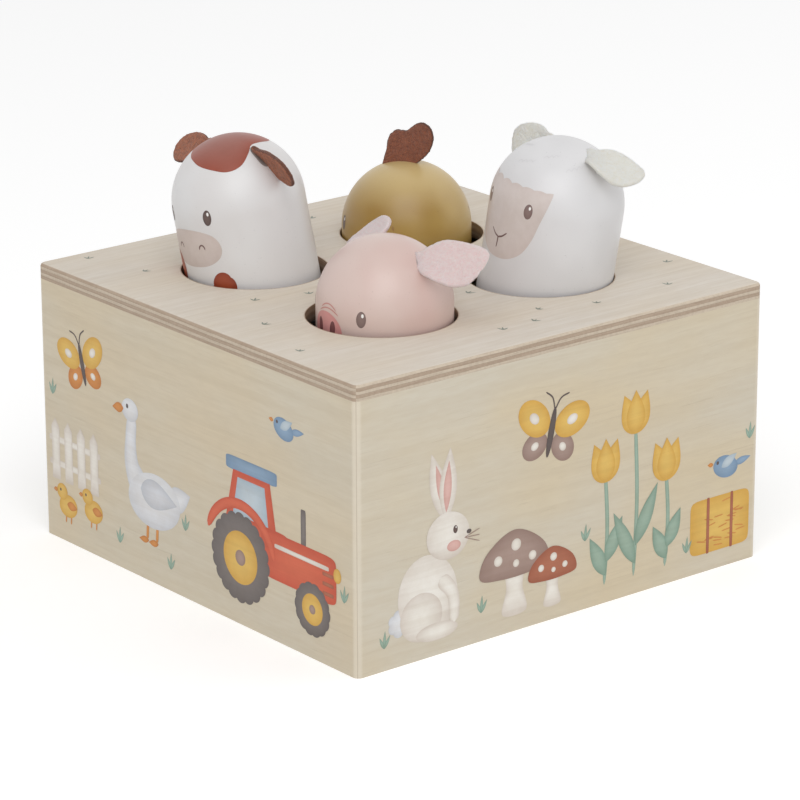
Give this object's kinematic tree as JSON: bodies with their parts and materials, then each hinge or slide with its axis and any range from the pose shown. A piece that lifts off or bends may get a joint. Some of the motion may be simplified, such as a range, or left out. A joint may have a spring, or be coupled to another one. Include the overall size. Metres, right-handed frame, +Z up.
{
  "type": "pop up animal toy",
  "caption": "Square plywood box with painted wooden animal pegs that stand loose over springs in round holes, with felt ears and a felt comb.",
  "frame": {"origin": "middle of the underside, at the height of the surface it stands on", "axes": "+Z up, square to the box; the animals look along -X"},
  "size_m": [0.16, 0.16, 0.1344],
  "materials": {
    "plywood": "five-ply birch plywood, sanded, satin, with printed pictures on the sides",
    "pine": "planed, unfinished",
    "beech": "turned, sanded, unfinished",
    "white_paint": "turned wood under satin off-white paint, with painted markings",
    "pink_paint": "turned wood under satin pink paint, with a painted face",
    "ochre_paint": "turned wood under satin ochre paint, with a painted face",
    "brown_felt": "wool felt",
    "cream_felt": "wool felt",
    "pink_felt": "wool felt",
    "red_brown_felt": "wool felt",
    "spring_steel": "bright spring wire",
    "screw_steel": "zinc plated"
  },
  "bodies": {
    "box": {"left_panel": "plywood", "back_panel": "plywood", "right_panel": "plywood", "front_panel": "plywood", "top_plate": "plywood", "base_board": "plywood", "corner_blocks": "pine", "base_screws": "screw_steel", "seat_screws": "screw_steel", "cow_spring_seat": "beech", "sheep_spring_seat": "beech", "pig_spring_seat": "beech", "hen_spring_seat": "beech"},
    "cow_sprung": {"cow_spring": "spring_steel"},
    "cow_pivot": {"cow_ball": "beech"},
    "cow_animal": {"cow_peg": "white_paint", "cow_left_ear": "brown_felt", "cow_right_ear": "brown_felt"},
    "sheep_sprung": {"sheep_spring": "spring_steel"},
    "sheep_pivot": {"sheep_ball": "beech"},
    "sheep_animal": {"sheep_peg": "white_paint", "sheep_left_ear": "cream_felt", "sheep_right_ear": "cream_felt"},
    "pig_sprung": {"pig_spring": "spring_steel"},
    "pig_pivot": {"pig_ball": "beech"},
    "pig_animal": {"pig_peg": "pink_paint", "pig_left_ear": "pink_felt", "pig_right_ear": "pink_felt"},
    "hen_sprung": {"hen_spring": "spring_steel"},
    "hen_pivot": {"hen_ball": "beech"},
    "hen_animal": {"hen_peg": "ochre_paint", "hen_comb": "red_brown_felt"}
  },
  "joints": [
    {"name": "cow_press", "type": "slide", "parent": "box", "child": "cow_sprung", "axis": [-0.1191, 0.1191, 0.9857], "range_m": [-0.026, 0], "stiffness_N_per_m": 250, "springref_m": 0.006, "deforming": ["cow_spring"]},
    {"name": "cow_turn", "type": "hinge", "parent": "cow_sprung", "child": "cow_pivot", "pos_m": [-0.0328, 0.0328, 0.09493], "axis": [-0.1191, 0.1191, 0.9857], "continuous": true},
    {"name": "cow_lift", "type": "slide", "parent": "cow_pivot", "child": "cow_animal", "axis": [-0.1191, 0.1191, 0.9857], "range_m": [0, 0.045]},
    {"name": "sheep_press", "type": "slide", "parent": "box", "child": "sheep_sprung", "axis": [0.0984, -0.0984, 0.9903], "range_m": [-0.026, 0], "stiffness_N_per_m": 250, "springref_m": 0.006, "deforming": ["sheep_spring"]},
    {"name": "sheep_turn", "type": "hinge", "parent": "sheep_sprung", "child": "sheep_pivot", "pos_m": [0.03312, -0.03312, 0.09495], "axis": [0.0984, -0.0984, 0.9903], "continuous": true},
    {"name": "sheep_lift", "type": "slide", "parent": "sheep_pivot", "child": "sheep_animal", "axis": [0.0984, -0.0984, 0.9903], "range_m": [0, 0.045]},
    {"name": "pig_press", "type": "slide", "parent": "box", "child": "pig_sprung", "axis": [0, 0, 1], "range_m": [-0.02, 0], "stiffness_N_per_m": 250, "springref_m": 0.006, "deforming": ["pig_spring", "pig_left_ear", "pig_right_ear"]},
    {"name": "pig_turn", "type": "hinge", "parent": "pig_sprung", "child": "pig_pivot", "pos_m": [-0.03079, -0.03221, 0.095], "axis": [0, 0, 1], "continuous": true},
    {"name": "pig_lift", "type": "slide", "parent": "pig_pivot", "child": "pig_animal", "axis": [0, 0, 1], "range_m": [0, 0.045]},
    {"name": "hen_press", "type": "slide", "parent": "box", "child": "hen_sprung", "axis": [0, 0, 1], "range_m": [-0.02, 0], "stiffness_N_per_m": 250, "springref_m": 0.006, "deforming": ["hen_spring"]},
    {"name": "hen_turn", "type": "hinge", "parent": "hen_sprung", "child": "hen_pivot", "pos_m": [0.03037, 0.03263, 0.095], "axis": [0, 0, 1], "continuous": true},
    {"name": "hen_lift", "type": "slide", "parent": "hen_pivot", "child": "hen_animal", "axis": [0, 0, 1], "range_m": [0, 0.045]}
  ]
}
